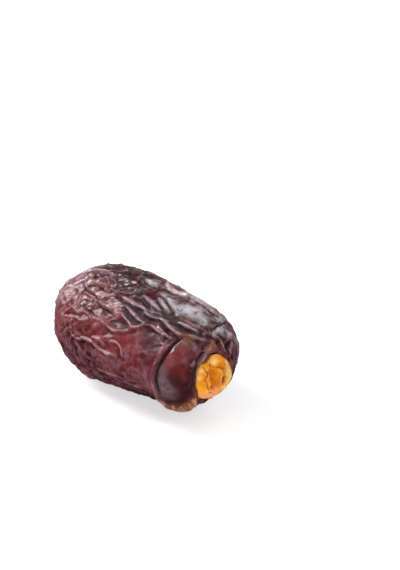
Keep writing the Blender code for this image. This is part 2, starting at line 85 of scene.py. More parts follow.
# Ridges and grooves of the cap: height, half width, and the line as (y, z) points from the cap's middle
CAP_LINES = {
    "lobe_edge": (-0.42, 0.3, [
        (-1.6, 3.6), (-1.4, 2.7), (-1.9, 1.7), (-2.4, 0.9), (-3, 0.3), (-2.6, -0.7), (-2.3, -1.9),
        (-2, -2.8), (-1.3, -3.4)]),
    "slit": (-0.4, 0.2, [(-3.1, 3.1), (-2.7, 2.2), (-2.3, 1.3)]),
    "pit": (-0.4, 0.26, [(-1.4, 3.25), (-1.3, 2.9)]),
    "top_groove": (-0.25, 0.3, [(-1.4, 3.2), (-0.5, 2.4), (0.5, 2.2), (1.6, 1.5), (2.1, 1.9), (2.8, 2.2)]),
    "middle_dip": (-0.9, 0.95, [(-1.2, 1.5), (-1.2, 0.4), (-0.7, -0.9), (-0.9, -2)]),
    "collar": (0.35, 0.45, [
        (0.2, 1.7), (0.8, 1.2), (0.95, 0.2), (0.7, -0.8), (0.6, -1.7), (1.1, -2.5), (2, -2.9)]),
    "bright_bulge": (0.55, 0.8, [(2.5, 1.1), (2.9, 0.4), (3.1, -0.4)]),
    "bulge_edge": (0.35, 0.2, [
        (1.9, 2), (2.2, 1.3), (2, 0.5), (2.5, -0.1), (2.9, -1.1), (2.5, -2.2), (2.8, -2.8)]),
    "right_rib": (0.4, 0.25, [(3.9, 0.6), (3.7, -0.8), (3.1, -1.9), (2.1, -3.1)]),
    "low_curl": (0.4, 0.3, [(-2.4, -2.5), (-1.8, -2.9), (-1.3, -2.8)]),
    "knob": (0.35, 0.3, [(-2.1, 0.9), (-2, 0.5)]),
    "top_lobe": (0.6, 1.1, [(-1.4, 4), (-0.2, 4.2), (1.2, 3.8)]),
    "low_knob": (0.3, 0.4, [(-0.2, -2.6), (0.3, -3)]),
}
# Where it has painted highlights, where it is deep orange and where it is rosy: y, z and reach of each place
CAP_TINTS = {
    "pale_highlight_places": [
        (2.9, 0.4, 1), (3.6, -0.8, 1), (2.9, -2.3, 0.9), (1.6, -3.1, 0.8), (3.2, 2.2, 0.7),
        (-0.6, 3.9, 0.8), (-4.2, 0.8, 0.5), (-3.6, 2.3, 0.5)],
    "deep_places": [
        (-1.2, 1.4, 1.1), (-0.9, -0.2, 1.3), (-0.3, -1.8, 1.2), (1.6, 0.9, 0.7), (1.9, -0.4, 0.9),
        (-2.3, 1.2, 0.5), (0.6, 2.6, 0.8)],
    "rosy_places": [(-1.2, -4.2, 1.3), (0.3, -3.9, 1), (-3, -3.4, 0.9), (-0.4, -2.9, 0.6)],
}
# Its fine unevenness: size, height and seed, and where in the noise it starts
CAP_GRAIN = {"lumps": (1.1, 0.1, 71), "pits": (0.45, 0.05, 73)}
CAP_GRAIN_START = 0.37
# Its rim starts at this share of the outline and is full after another, and it is low this far down
CAP_RIM_START = 0.78
CAP_RIM_WIDTH = 0.2
CAP_LOW_REACH = 8.0

# The hollow that the cap sits in: its depth, how far past the cap's outline its wall stands, half the wall's
# width, the lip round it, and the gap under the cap
HOLLOW_DEPTH = 2.0
WALL_PAST_CAP = 0.0
WALL_SLOPE = 0.35
LIP_PAST_CAP = 1.25
LIP_HEIGHT = 0.4
LIP_WIDTH = 0.5
SEAT_GAP = 0.3

# Broad swells and dents: station, angle, height, reach
SWELLS = {
    "stem_end_pad": (19, 95, 0.8, 6),
    "shoulder_dent": (10, -42, -1.3, 7),
    "far_shoulder": (-17, 62, 0.5, 6),
    "far_top": (-17, 15, -0.4, 7),
    "flank_hollow": (3, 68, -0.4, 6),
    "under_flank": (9, 138, -1.5, 8),
    "under_end": (21, 178, -0.8, 4.5),
    "back_swell": (-5, 250, 0.5, 8),
    "back_dent": (8, 225, -0.7, 6),
    "far_dent": (-20, 95, -0.5, 6),
    "rim_pit": (22.15, -48, -1, 0.7),
    "band_swell": (15.5, -42, 0.6, 7.5),
    "top_swell": (-4, -44, 0.3, 8),
    "amber_swell": (-9.2, 136, 0.8, 2.2),
    "low_front_dent": (5, 152, -0.5, 6),
    "low_pad_dent": (16.5, 140, -0.5, 3),
}

# Folds: height, half width, step down on the right of the line, and the line's (station, angle) points
FOLDS = {
    "pad_crease": (-0.7, 0.3, -0.6, [
        (19.2, 32), (18.3, 42.5), (17.8, 54), (17.3, 68), (16.8, 80), (16.6, 91), (16.9, 102), (17, 112)]),
    "pad_lip": (0.3, 0.3, 0, [
        (17.6, 37), (16.8, 47), (16.5, 56), (16.5, 66), (16.1, 78), (16, 90), (16.2, 100), (16.4, 110)]),
    "pad_right_crease": (-0.4, 0.26, 0, [
        (22.2, 22), (22.15, 34), (22.1, 46), (22.05, 60), (21.95, 78), (21.9, 95), (21.7, 108), (21.2, 121)]),
    "pad_foot": (1.4, 0.72, -0.3, [
        (16.3, 101), (16.6, 110), (17, 120), (17.3, 132), (18.2, 142), (19.4, 145), (20.6, 143.5),
        (21.5, 138), (22, 130)]),
    "middle_crest": (0.7, 0.42, -0.35, [
        (-5.8, 56), (-3.8, 58), (-2, 57.5), (-0.5, 58.5), (1, 60.5), (2.8, 61), (4.5, 59.5), (6.3, 56.5),
        (7.6, 52), (9.3, 47.5), (10.5, 44), (12, 41.5), (13.5, 43), (15.2, 44), (16.5, 41), (18, 37)]),
    "junction_one": (0.45, 0.4, 0.3, [(2.6, 43.5), (4.1, 46.5), (6.1, 48.8), (7.5, 51), (8.6, 49.5)]),
    "junction_two": (0.45, 0.4, 0.3, [(12.6, 38.5), (13.9, 40.5), (15.6, 42.2), (16.6, 44), (17.8, 40)]),
    "horn": (0.7, 0.4, 0.2, [
        (1.6, 7), (2.1, 13), (2, 18.5), (1.2, 23), (-0.5, 25), (-2.8, 26.5), (-5.5, 25)]),
    "top_ridge": (0.9, 0.5, 0.35, [
        (1.8, -22), (2.9, -17), (5.1, -11.5), (7.8, -9), (10.5, -9.5), (13.1, -13), (15.2, -17.5),
        (17, -24), (18, -36)]),
    "swirl": (1, 0.55, 0.2, [
        (-15, 18), (-13, 13), (-10.8, 10), (-8.6, 9.5), (-7, 12.5), (-7.2, 17), (-9, 20.5), (-11, 22)]),
    "swirl_hollow": (-0.9, 0.6, 0, [(-13, 19), (-11.5, 17), (-9.8, 16), (-8.8, 17)]),
    "curl": (0.45, 0.32, 0.15, [(-12, 39), (-9, 40.3), (-7.3, 40.5), (-5.9, 43.5), (-5.9, 47.5), (-7.8, 51)]),
    "long_crack": (-0.5, 0.24, 0.2, [
        (-14.2, 28), (-13.1, 32), (-11.1, 36), (-8.7, 38.6), (-6.8, 39), (-5.2, 42), (-4.4, 45.5),
        (-3, 46.8), (-1, 47), (0.8, 48.5), (2, 50)]),
    "short_crack": (-0.4, 0.22, 0.1, [(-8.5, 54.5), (-7, 55), (-5.5, 55), (-3.8, 56.5), (-2.6, 56)]),
    "upper_crack": (-0.45, 0.24, 0.15, [
        (-12.5, 30), (-10.7, 30.2), (-8.8, 29.5), (-7.5, 28.5), (-5.5, 30.5), (-4, 28.5), (-2.7, 26.5),
        (-1.8, 30), (-0.5, 33)]),
    "far_wave": (0.3, 0.28, 0, [
        (-13.8, 73), (-13.5, 67), (-12.8, 63), (-12, 58), (-10.7, 58.5), (-9.3, 60.5), (-8, 58.5),
        (-7, 57), (-5, 58.5), (-4, 62), (-3.8, 66)]),
    "far_low_line": (0.3, 0.28, 0, [(-13.6, 71.5), (-11.1, 67), (-8.9, 65.8), (-7.2, 67)]),
    "far_side_line": (0.3, 0.28, 0, [(-11.2, 80), (-12.2, 84), (-12.7, 90), (-12.4, 96), (-11.4, 102)]),
    "zigzag_crest": (0.55, 0.32, 0.2, [
        (-12, 70), (-10.5, 78), (-9.6, 84), (-7.5, 85), (-5.5, 81.5), (-3, 80.5), (-1.5, 82), (0, 84.5),
        (2.2, 85), (4.5, 83.5), (7.2, 84.5)]),
    "zigzag_upper": (0.3, 0.32, 0, [(2, 74), (3.5, 71.5), (5, 70.5), (6.6, 74), (7.4, 83)]),
    "zigzag_branch": (0.3, 0.3, 0, [(-3.5, 77), (-0.8, 75.5), (0.6, 77), (1.2, 81)]),
    "rim_crack": (-0.5, 0.3, 0.5, [(20.7, -6), (20.4, -15), (19.9, -26.5), (18.9, -40), (16.7, -56)]),
    "rim_crest": (0.4, 0.7, 0, [
        (21.3, -4), (21.1, -14), (20.9, -24.5), (20.8, -43.5), (20.4, -65.5), (20.6, -85), (21.2, -112)]),
    "pit_left": (0.4, 0.28, 0, [(21.4, -2), (21.8, -16), (22.3, -32), (22.45, -58), (22.3, -75)]),
    "pit_right": (0.4, 0.28, 0, [(21, -48), (21.4, -56), (22, -62), (22.4, -72)]),
    "cap_rim": (0.35, 0.28, 0, [
        (21.9, -6), (22, 3.5), (22.3, 22.5), (22.3, 46), (22.2, 66.5), (22.2, 95), (22, 125), (21.6, 146.5)]),
    "far_line": (0.35, 0.3, 0.1, [
        (-18.5, 62), (-17.6, 51.5), (-16.7, 40.5), (-15.6, 31), (-14.6, 22.5), (-15.2, 13)]),
    "far_line_low": (0.35, 0.3, 0, [(-20.4, 69), (-19.6, 61.5), (-18.4, 52), (-17.4, 46)]),
    "gather_one": (0.4, 0.4, 0.25, [(16.5, 40.5), (18.2, 35), (19.8, 29), (21.2, 20), (22.2, 6)]),
    "gather_three": (0.35, 0.4, 0.25, [(14, 20), (17, 18), (19.5, 12), (21.4, 0)]),
    "end_ridge": (0.5, 0.5, 0.15, [
        (-12, -14), (-14.5, -6), (-16.5, 10), (-18.4, 25), (-20.2, 42), (-21.3, 58), (-21.5, 80)]),
    "loop": (0.45, 0.35, 0, [(-10, 27), (-7.6, 26), (-6.2, 22), (-7.8, 17.5), (-11, 17), (-13.5, 13)]),
    "low_left_crease": (-0.6, 0.45, 0, [(-19, 92), (-17, 101), (-14, 111), (-10.5, 118), (-7, 121)]),
    "low_left_crest": (0.45, 0.45, 0, [(-20.8, 84), (-18.6, 103), (-15, 117), (-10.5, 125), (-5, 128)]),
    "amber_line": (0.3, 0.35, 0, [(-9, 88), (-7, 92), (-5, 97.5), (-2.5, 100)]),
    "low_front_crease": (-0.5, 0.45, 0, [(1, 113), (4.5, 118), (8.5, 121.5), (12.5, 121), (14.5, 116)]),
    "low_front_crest": (0.35, 0.5, 0, [(-3, 110), (1, 107), (5, 106), (9.5, 110), (13, 110)]),
}
# Folds like overlapping blades, which run down to the stem end: height, width of the upper face, and the
# lower edge's (station, angle) points
BLADES = {
    "lower_left": (0.75, 0.8, [(1.2, 33), (2.3, 35), (4.7, 38.7), (6.9, 41.6), (8.7, 43), (10.9, 41.5)]),
    "wide_left": (0.75, 1.1, [
        (-2, 27.5), (0, 29), (2.6, 31), (4.8, 32.5), (6.6, 31.5), (8.8, 31), (9.8, 30)]),
    "wide_upper": (0.8, 1.1, [(3.2, 17), (4.6, 19), (7.2, 22.5), (9.3, 25), (11, 25), (12.3, 23.5)]),
    "middle": (0.6, 0.8, [(7.2, 33), (8.4, 34), (10.2, 35), (11.5, 34), (13.2, 32.5)]),
    "lower_right": (0.75, 0.8, [(11.2, 31), (12.6, 32), (14.6, 34), (16.4, 36), (17.9, 35.5), (19.4, 30.5)]),
    "upper_right": (0.55, 0.8, [(15.4, 23.5), (16.7, 23.5), (18.1, 22.5), (19.5, 18), (20.8, 12)]),
    "small": (0.4, 0.5, [(7.4, 25.5), (8.5, 27), (10.3, 30), (11.6, 28.5), (12.6, 27)]),
    "band_side": (0.5, 1, [(6.6, 10), (8.5, 14), (10.6, 18), (12.4, 21), (14, 22)]),
    "band_edge": (0.4, 1.1, [(5.8, 2.5), (7.8, 6.5), (10, 9.5), (12.4, 13.5), (14.4, 16.5), (16.6, 18.5)]),
    "top_blob": (0.6, 0.9, [(-2, -7), (-0.4, -5), (1.6, -2), (2.8, -2), (4, -5)]),
}
# A blade's drop below its edge, the valley there: share of its height, distance, width and share of shade
BLADE_DROP = 0.3
BLADE_UNDERCUT = 0.45
BLADE_VALLEY = 0.7
BLADE_VALLEY_WIDTH = 0.45
BLADE_VALLEY_SHADE = 0.8
# A blade tapers over this share of its length at each end, to this share of its width
BLADE_FADE = 0.48
BLADE_TIP = 0.3
# The strip of its upper face tinted lilac, partly a painted sheen: how far up it lies and how wide it is, as
# shares of the face
BLADE_STRIP_UP = 0.3
BLADE_STRIP_WIDTH = 0.42

FOLD_SAMPLES = 60
# How far from its line a step dies out, and the share of a line over which each end fades
LEDGE_REACH = 1.6
FOLD_FADE = 0.16
# How sharp a crest is, from 1 for a peak to 2 for a bell, and how many half widths of it matter
CREST_POWER = 1.5
FOLD_MARGIN = 5.0
BLADE_MARGIN = 3.0

# A fold's or a wrinkle's coloured line, pale on crests and a painted shade in creases, is this much narrower
# than the fold itself
LINE_SHARE = 0.55
NET_LINE_STRENGTH = 0.4
# The folds whose crests are thin and pale, partly a painted highlight; on the others the line is fainter
PALE_FOLDS = {
    "pad_lip", "middle_crest", "junction_one", "junction_two", "horn", "zigzag_crest", "zigzag_upper",
    "cap_rim", "far_line", "far_line_low", "far_wave", "far_low_line", "far_side_line", "pit_left",
    "pit_right", "top_ridge", "curl", "pad_foot",
}
FAINT_LINE = 0.35

# The nets of wrinkles over the rest of the skin: spacing, crest height, half width and seed of each
NETS = {
    "folds": (4.4, 0.6, 0.65, 11),
    "wrinkles": (2.2, 0.34, 0.34, 29),
    "crinkles": (1.25, 0.13, 0.2, 47),
}
# A net of narrow creases between raised islands, and where it lies: station, angle, reach, share of its depth
CREASES = (2.3, -0.42, 0.17, 83)
CREASED_PLACES = {
    "upper_wrinkles": (-7, 36, 7.5, 1),
    "middle_wrinkles": (2, 42, 5.5, 0.8),
    "far_top": (-9, -20, 9, 0.6),
    "back": (0, -100, 14, 0.5),
}
# Gentle swells over all the skin but the pad: size, height and seed of each
UNDULATIONS = {
    "wide": (3.4, 0.28, 61),
    "narrow": (1.3, 0.14, 67),
}
UNDULATION_SHARE_ON_PAD = 0.15
# Up to this height over the floor the skin darkens downwards, a painted shade
UNDER_TOP = 9.0
# Crest tops lie near the form itself: share of a net's height that its valleys drop below it
NET_DROP = 0.85
# A net's strength where it is weakest, the size of its weak and strong patches in spacings, and how much they
# differ; its crests are rounded over this width
NET_WEAKEST = 0.35
NET_PATCHES = 3.0
NET_CONTRAST = 0.9
NET_ROUNDING = 0.1
# The step over which a noise's slope is measured, and the least slope that is reckoned with
SLOPE_STEP = 0.04
SLOPE_LEAST = 0.05
# The height of the noise, so that it runs from about -1 to 1, and how many slopes it draws
NOISE_HEIGHT = 1.6
NOISE_SLOPES = 256
# Wrinkles run along X, a little twisted round it, and lose their direction towards the far end
STRETCH = 0.36
GATHERING = 2.5
GATHERING_START = -2.0
GATHERING_REACH = 5.0
TWIST = math.radians(1.5)
SWAY = 0.45
SWAY_SCALE = 0.7

# Places where the skin is nearly smooth: station, angle, reach, share of the nets' height taken away
SMOOTH_PLACES = {
    "pad": (19.5, 92, 8, 0.97),
    "ledge": (18.8, 140, 4, 0.9),
    "blades": (8.5, 29, 6.5, 0.75),
    "pad_top": (20.8, 36, 2.6, 0.7),
    "flank": (8, 80, 7.5, 0.85),
    "low_flank": (0, 104, 8, 0.6),
    "far_flank": (-5, 72, 5, 0.5),
    "far_end": (-22, 90, 10, 0.55),
    "far_rim": (-20.5, 55, 6, 0.7),
    "far_top_rim": (-19, 12, 6, 0.4),
    "low_front": (6, 128, 7, 0.7),
    "low_far": (-10, 126, 7, 0.6),
    "grey_band": (14, -4, 4.5, 0.8),
    "back_rim": (20, -110, 8, 0.5),
    "back": (2, 215, 7, 0.6),
    "back_far": (-10, 255, 6, 0.5),
}
# Where the date rests the nets keep this share, and over this height of the skin they come back in full
RESTING_SHARE = 0.15
RESTING_DROP = 0.3
RESTING_HEIGHT = 2.0

# How far a point stands out of the skin round it, as masks: rounds of averaging one after another, and the
# height from all low to all high
RELIEF_MASKS = {
    "crest": (10, 0.18),
    "fold": (26, 0.6),
    "rise": (84, 1.3),
}

# Tints of the skin: each is a mask over places given by station, angle, reach and strength
TINTS = {
    # Pale grey wax, and a painted sheen where the top and the stem end's rim catch the light
    "bloom_and_sheen": [
        (13.8, 9, 1.6, 1), (15.2, 6, 1.6, 1), (16.7, 2, 1.7, 1), (18.6, -1, 1.5, 1),
        (5.1, -11.5, 1.2, 0.9), (7.8, -9, 1.2, 0.9), (10.5, -9, 1.3, 0.9), (13.1, -13, 1.4, 1),
        (15.2, -16, 1.4, 1), (16.8, -20, 1.5, 1), (18.3, -34, 2, 1), (21, -12, 1.3, 1),
        (20.9, -26, 1.3, 1), (20.8, -44, 1.3, 1), (20.4, -62, 1.4, 0.4), (1.6, -5, 1.8, 1),
        (9.8, 5, 1.6, 0.6), (10.6, 15.5, 1.2, 0.8), (7.8, 3.5, 1.4, 0.6), (4, -60, 9, 0.25),
        (-12, -40, 8, 0.2)],
    "shade": [
        (18.8, -12, 1.5, 0.9), (19.4, -21, 1.5, 0.9), (12.5, 1, 2, 1), (19, 118, 2.4, 0.3),
        (20.6, 112, 2.4, 0.3), (22.1, -48, 0.8, 1), (21.8, -15, 2.6, 0.6), (21.6, -65, 3.4, 0.15),
        (21.8, 62, 1.5, 0.5), (21.9, 80, 1.5, 0.6), (21.7, 100, 1.6, 0.6), (21.2, 116, 2.2, 0.9),
        (19.6, 120, 2.2, 0.8), (-12.6, 11, 1.4, 0.9), (-11, 17, 1.6, 0.8), (10, 150, 8, 0.6),
        (-4, 4, 5.5, 1), (-10, -10, 6, 1), (-12, 2, 3.5, 0.8), (0, 12, 3, 0.7), (4.5, 26, 4.5, 0.95),
        (11, 28, 4.5, 0.95), (7, 42, 2.2, 0.8), (15.5, 30, 3.5, 0.8), (12.5, 55, 2.2, 0.4),
        (-1, -12, 5, 0.9)],
    "pinkness": [
        (-7.3, 33.5, 3.2, 1), (-2.6, 51, 2.8, 1), (1.6, 45.5, 1.4, 1), (-13, 24, 4, 0.8), (-9, 52, 3, 0.5),
        (-16, 85, 4, 0.5), (13, 100, 3.5, 0.6), (2, 92, 4, 0.5), (-1, 38, 3, 0.7)],
    # Whitish wax, and a painted rim sheen along the far end's edges, on the swirl and at the stem end's back
    "frost_and_sheen": [
        (-19, 50, 3, 1), (-20.2, 62, 3, 0.8), (-18.3, 37, 3, 1), (-18, 23, 3.5, 1), (-17, 8, 4, 0.9),
        (-14.5, 30, 2.5, 0.6), (-20.8, 85, 2.5, 0.5), (20.8, -75, 2.5, 0.35), (20.5, -95, 3, 0.25),
        (-10.8, 10, 1.2, 0.8), (-8.4, 9.8, 1.3, 0.9)],
    # Grey dusting low on the pad's left, partly a painted reflection of the floor
    "dust_and_sheen": [(17.7, 80, 1.3, 0.7), (17.9, 90, 1.5, 0.9), (18.3, 101, 1.9, 1), (19, 110, 1.7, 0.7)],
    "bare": [
        (12.5, 56, 2.6, 1), (19.6, 60, 3, 1), (19.4, 80, 3.4, 1), (19.6, 104, 3.6, 1), (19.8, 120, 3, 1)],
    # Lilac haze, partly a painted reflection of the floor low on the flank
    "haze": [
        (-12, 95, 6, 1), (-6, 108, 6, 1), (2, 108, 5, 1), (9, 108, 5, 1), (14, 96, 3, 1), (11, 60, 3, 0.8),
        (4, 88, 5.5, 1), (10, 92, 4, 1), (-16, 80, 4, 0.6), (0, 230, 14, 0.35), (20.5, -60, 3, 0.8),
        (20.8, -90, 3, 0.8)],
    "dull": [
        (0.5, 55, 1.8, 0.8), (12, 58, 3.2, 1), (9, 60, 2.6, 0.8), (14.5, 60, 2.5, 0.8), (20.6, 46, 2, 0.8),
        (19.6, 38, 1.6, 0.6)],
    # Painted glints on the amber ledge, and a painted glow on the amber strip at the far end
    "gleam": [
        (17, 124, 0.45, 1), (17.8, 134, 0.5, 1), (19, 139.5, 0.55, 1), (20.3, 139, 0.55, 1),
        (16.4, 112, 0.35, 0.8), (21.4, 134, 0.5, 1), (-10.2, 132.5, 0.9, 1), (-9.2, 135.5, 1, 1),
        (-8.2, 138, 0.9, 1)],
    # Red tone, partly painted light on the flank towards the far end and on the pad's top
    "redness": [
        (0, 68, 5.5, 1), (8, 72, 5.5, 0.8), (18.8, 62, 2.2, 0.85), (19.9, 50, 1.8, 0.75),
        (20.4, 64, 2, 0.8), (21.2, 80, 1.6, 0.7), (-14, 66, 6, 1), (-16, 40, 5, 0.6), (-18, 84, 4, 0.7),
        (9, 42, 2, 0.4), (-9.3, 46, 1.8, 0.9), (-5, 30, 5, 0.3), (-11, 18, 1.5, 0.7)],
    "amber": [
        (15.9, 100, 0.45, 0.7), (16.2, 108, 0.55, 0.9), (16.6, 119, 0.8, 1), (17.2, 131, 1.2, 1),
        (18.2, 142, 1.5, 1), (19.5, 145, 1.6, 1), (20.8, 143, 1.6, 1), (21.7, 137, 1.3, 0.8),
        (-10.6, 131.5, 1.2, 1), (-9.6, 134.5, 1.3, 1), (-8.6, 137, 1.3, 1), (-7.6, 139, 1.2, 1),
        (22.1, -1, 0.9, 0.8), (22.2, 7, 1, 0.9), (22.3, 16, 0.8, 0.7), (-5, 98, 1, 0.25),
        (12.4, 38, 1.2, 0.2), (19.8, 33, 1.5, 0.45), (17.8, 34, 1.4, 0.2)],
}


def unit(vectors):
    return vectors / np.linalg.norm(vectors, axis=-1, keepdims=True)


def smooth(value):
    """0 below 0, 1 above 1, and an even ease between."""
    value = np.clip(value, 0.0, 1.0)
    return value * value * (3 - 2 * value)


def bump(distance, reach):
    """1 at no distance, and down to nothing in a bell shape."""
    return np.exp(-((distance / reach) ** 2))


def lattice_noise(points, seed):
    """Smooth noise of about -1 to 1: random slopes at whole-number corners, eased between them."""
    draw = np.random.default_rng(seed)
    order = draw.permutation(NOISE_SLOPES)
    slopes = unit(draw.normal(size=(NOISE_SLOPES, 3)))
    cell = np.floor(points).astype(int)
    inside = points - cell
    ease = inside**3 * (inside * (inside * 6 - 15) + 10)
    total = np.zeros(len(points))
    for corner in itertools.product((0, 1), repeat=3):
        at = (cell + corner) % NOISE_SLOPES
        pick = order[(order[(order[at[:, 0]] + at[:, 1]) % NOISE_SLOPES] + at[:, 2]) % NOISE_SLOPES]
        ramp = (slopes[pick] * (inside - corner)).sum(axis=1)
        total += np.where(corner, ease, 1 - ease).prod(axis=1) * ramp
    return total * NOISE_HEIGHT


def on_form(directions):
    """Where a ray from the middle along each direction meets the superellipse form."""
    along = np.abs(directions[:, 0]) / HALF_LENGTH
    across = np.hypot(directions[:, 1], directions[:, 2]) / HALF_WIDTH
    reach = (along**BLUNTNESS + across**BLUNTNESS) ** (-1 / BLUNTNESS)
    return directions * reach[:, None]


def form_normals(points):
    """Unit normals of the form at points on it."""
    along = np.abs(points[:, 0]) / HALF_LENGTH
    across = np.hypot(points[:, 1], points[:, 2]) / HALF_WIDTH
    steep_x = np.sign(points[:, 0]) * along ** (BLUNTNESS - 1) / HALF_LENGTH
    steep_r = across ** (BLUNTNESS - 2) / HALF_WIDTH**2
    return unit(np.stack([steep_x, steep_r * points[:, 1], steep_r * points[:, 2]], axis=1))


def place(station, angle):
    """The point of the form at a station along X and an angle in degrees round the axis."""
    share = np.clip(np.abs(station) / HALF_LENGTH, 0, 1)
    radius = HALF_WIDTH * (1 - share**BLUNTNESS) ** (1 / BLUNTNESS)
    turn = np.radians(angle)
    return np.stack([station + 0 * turn, -radius * np.sin(turn), radius * np.cos(turn)], axis=-1)


def smooth_line(knots):
    """Evenly spread parameters along a Catmull-Rom curve through the knots."""
    knots = np.array(knots, float)
    padded = np.vstack([2 * knots[0] - knots[1], knots, 2 * knots[-1] - knots[-2]])
    at = np.linspace(0, len(knots) - 1, FOLD_SAMPLES)
    first = np.minimum(at.astype(int), len(knots) - 2)
    t = (at - first)[:, None]
    a, b, c, d = (padded[first + k] for k in range(4))
    return 0.5 * (2 * b + (c - a) * t + (2 * a - 5 * b + 4 * c - d) * t**2 + (3 * b - a - 3 * c + d) * t**3)


def beside_line(points, normals, margin, knots, fading=FOLD_FADE):
    """The points near a line, how far each is from it and to the right of it, and the fade at its ends."""
    line = smooth_line(knots)
    path = place(line[:, 0], line[:, 1])
    low, high = path.min(axis=0) - margin, path.max(axis=0) + margin
    near = np.flatnonzero(((points > low) & (points < high)).all(axis=1))
    offset = points[near, None, :] - path[None, :, :]
    nearest = (offset**2).sum(axis=2).argmin(axis=1)
    offset = offset[np.arange(len(near)), nearest]
    pace = np.gradient(path, axis=0)[nearest]
    tangent = unit(pace)
    past = (offset * tangent).sum(axis=1)
    across = offset - past[:, None] * tangent
    side = (across * np.cross(tangent, normals[near])).sum(axis=1)
    run = (nearest + past / np.linalg.norm(pace, axis=1)) / (FOLD_SAMPLES - 1)
    fade = smooth(run / fading) * smooth((1 - run) / fading)
    return near, np.linalg.norm(across, axis=1), side, fade


def fold_relief(points, normals, height, half_width, step, knots):
    """One fold's crest or crease, with the step from side to side, and how near each point is to its line."""
    near, away, side, fade = beside_line(points, normals, FOLD_MARGIN * half_width + LEDGE_REACH, knots)
    crest = height * np.exp(-((away / half_width) ** CREST_POWER))
    ledge = -0.5 * step * np.tanh(2 * side / half_width) * np.exp(-away / LEDGE_REACH)
    relief, line = np.zeros((2, len(points)))
    relief[near] = fade * (crest + ledge)
    line[near] = fade * bump(away, LINE_SHARE * half_width)
    return relief, line


def blade_relief(points, normals, height, face, knots):
    """One blade: its relief, and how much each point lies on its upper face and in the valley below it."""
    margin = BLADE_MARGIN * face + BLADE_VALLEY
    near, away, side, fade = beside_line(points, normals, margin, knots, BLADE_FADE)
    face = face * (BLADE_TIP + (1 - BLADE_TIP) * fade)
    crest = bump(side, np.where(side < 0, face, BLADE_DROP))
    valley = bump(side - BLADE_VALLEY, BLADE_VALLEY_WIDTH)
    relief, upper, below = np.zeros((3, len(points)))
    relief[near] = fade * height * (crest - BLADE_UNDERCUT * valley)
    upper[near] = smooth(2.5 * fade) * bump(side + BLADE_STRIP_UP * face, BLADE_STRIP_WIDTH * face)
    below[near] = smooth(2.0 * fade) * valley
    return relief, upper, below


def wrinkle_field(points, spacing, seed):
    """A noise whose zero lines are the wrinkles of one net."""
    turn = TWIST * points[:, 0]
    y = points[:, 1] * np.cos(turn) - points[:, 2] * np.sin(turn)
    z = points[:, 1] * np.sin(turn) + points[:, 2] * np.cos(turn)
    gathered = GATHERING * np.log1p(np.exp((GATHERING_START - points[:, 0]) / GATHERING_REACH))
    bent = np.stack([STRETCH * points[:, 0] - gathered, y, z], axis=1) / spacing
    sway = np.stack([lattice_noise(bent * SWAY_SCALE + k, seed + k) for k in (1, 2, 3)], axis=1)
    return lattice_noise(bent + SWAY * sway, seed)


def net_relief(points, normals, spacing, height, half_width, seed):
    """Crests or creases along a noise's zero lines, which meet and part as wrinkles do, and those lines."""
    value = wrinkle_field(points, spacing, seed)
    nudged = [wrinkle_field(points + SLOPE_STEP * axis, spacing, seed) for axis in np.eye(3)]
    slope = (np.stack(nudged, axis=1) - value[:, None]) / SLOPE_STEP
    slope -= normals * (slope * normals).sum(axis=1, keepdims=True)
    away = np.abs(value) / (np.linalg.norm(slope, axis=1) + SLOPE_LEAST)
    patches = smooth(0.5 + NET_CONTRAST * lattice_noise(points / (NET_PATCHES * spacing), seed + 9))
    strength = NET_WEAKEST + (1 - NET_WEAKEST) * patches
    drop = NET_DROP if height > 0 else 0.0
    relief = height * (strength * np.exp(-np.hypot(away, NET_ROUNDING) / half_width) - drop)
    return relief, strength * bump(away, LINE_SHARE * half_width)


def in_places(points, places, squareness=3):
    """How much each point is in any of the places given by station, angle, reach and strength."""
    clear = np.ones(len(points))
    for station, angle, reach, strength in places:
        away = np.linalg.norm(points - place(station, angle), axis=1)
        clear *= 1 - strength * np.exp(-((away / reach) ** squareness))
    return 1 - clear


def net_share(points):
    """1 where the nets of wrinkles have their full height, and less in smooth places and underneath."""
    share = 1 - in_places(points, SMOOTH_PLACES.values(), squareness=4)
    raised = smooth((points[:, 2] + AXIS_HEIGHT + RESTING_DROP) / RESTING_HEIGHT)
    return share * (RESTING_SHARE + (1 - RESTING_SHARE) * raised)


def cap_radius(angles):
    """The cap's outline radius at each angle in degrees, eased from one point of the outline to the next."""
    outline = CAP_OUTLINE + [(CAP_OUTLINE[0][0] + 360, CAP_OUTLINE[0][1])]
    at, radii = np.array(outline, float).T
    turned = at[0] + (angles - at[0]) % 360.0
    step = np.searchsorted(at, turned, side="right") - 1
    share = smooth((turned - at[step]) / (at[step + 1] - at[step]))
    return radii[step] * (1 - share) + radii[step + 1] * share


def past_cap(points):
    """How far outside the cap's outline each point lies, seen along X; large away from the stem end."""
    y = points[:, 1] - CAP_CENTRE_Y
    z = points[:, 2] - CAP_CENTRE_Z
    past = np.hypot(y, z) - cap_radius(np.degrees(np.arctan2(-y, z)))
    return np.where(points[:, 0] > 0, past, HALF_WIDTH)


